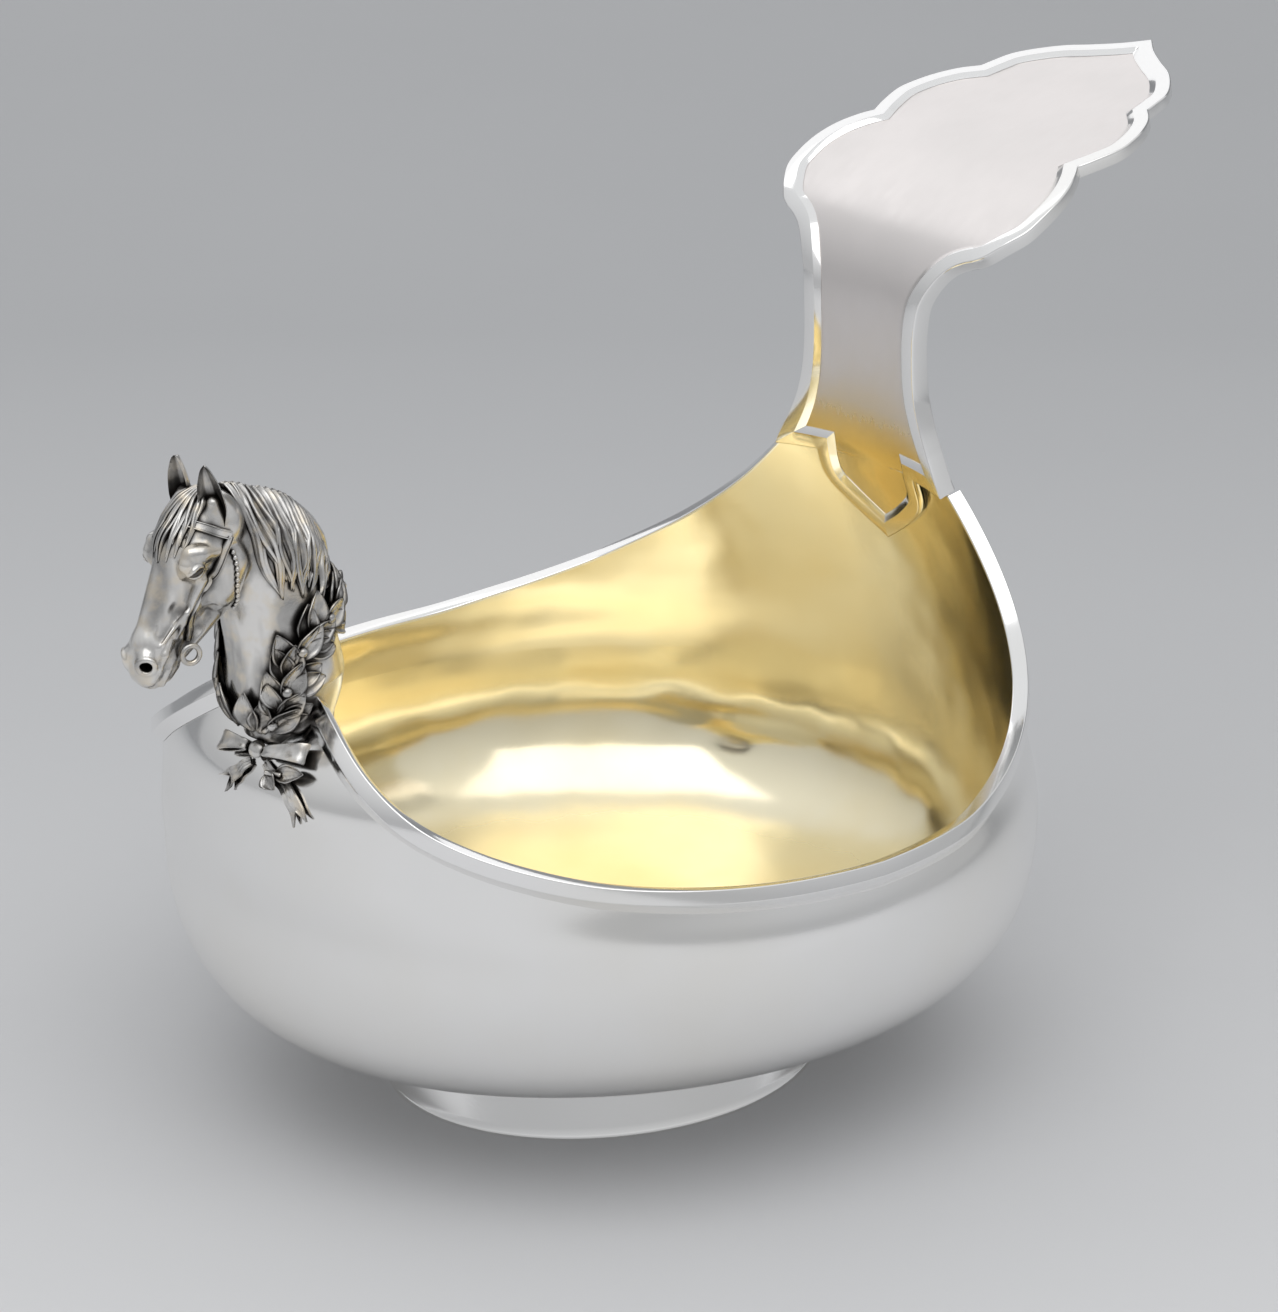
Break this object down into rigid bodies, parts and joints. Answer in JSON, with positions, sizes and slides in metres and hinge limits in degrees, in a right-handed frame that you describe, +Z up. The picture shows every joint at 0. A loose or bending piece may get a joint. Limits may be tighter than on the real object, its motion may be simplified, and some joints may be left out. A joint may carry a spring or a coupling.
{
  "type": "kovsh",
  "caption": "Boat-shaped drinking ladle on an oval foot, with a raised lobed handle and a bridled horse's head with a laurel garland on its prow.",
  "frame": {"origin": "on the plane the foot stands on, below the middle of the part's length and width", "axes": "+X from the horse's head towards the handle's tip, +Y to the horse's left, +Z up"},
  "size_m": [0.3192, 0.1984, 0.2149],
  "materials": {
    "silver": "polished silver, fire-gilt on the bowl's inside",
    "satin_silver": "satin",
    "gilt_silver": "polished, partly gilt",
    "cast_silver": "cast and oxidised in the recesses"
  },
  "bodies": {
    "root": {"bowl_shell": "silver", "foot_ring": "silver", "rim_band_left": "silver", "rim_band_right": "silver", "handle_frame_left": "silver", "handle_frame_right": "silver", "handle_plate": "satin_silver", "drop_frame": "gilt_silver", "horse": "cast_silver", "ear_left": "cast_silver", "ear_right": "cast_silver", "mane": "cast_silver", "forelock": "cast_silver", "browband": "cast_silver", "cheek_strap_left": "cast_silver", "cheek_strap_right": "cast_silver", "throat_latch_left": "cast_silver", "throat_latch_right": "cast_silver", "bit_ring_left": "cast_silver", "bit_ring_right": "cast_silver", "garland_left": "cast_silver", "garland_right": "cast_silver", "ribbon_knot": "cast_silver", "bow_loop_left": "cast_silver", "bow_loop_right": "cast_silver", "ribbon_tail_left": "cast_silver", "ribbon_tail_right": "cast_silver", "leaf_spray": "cast_silver"}
  },
  "joints": []
}
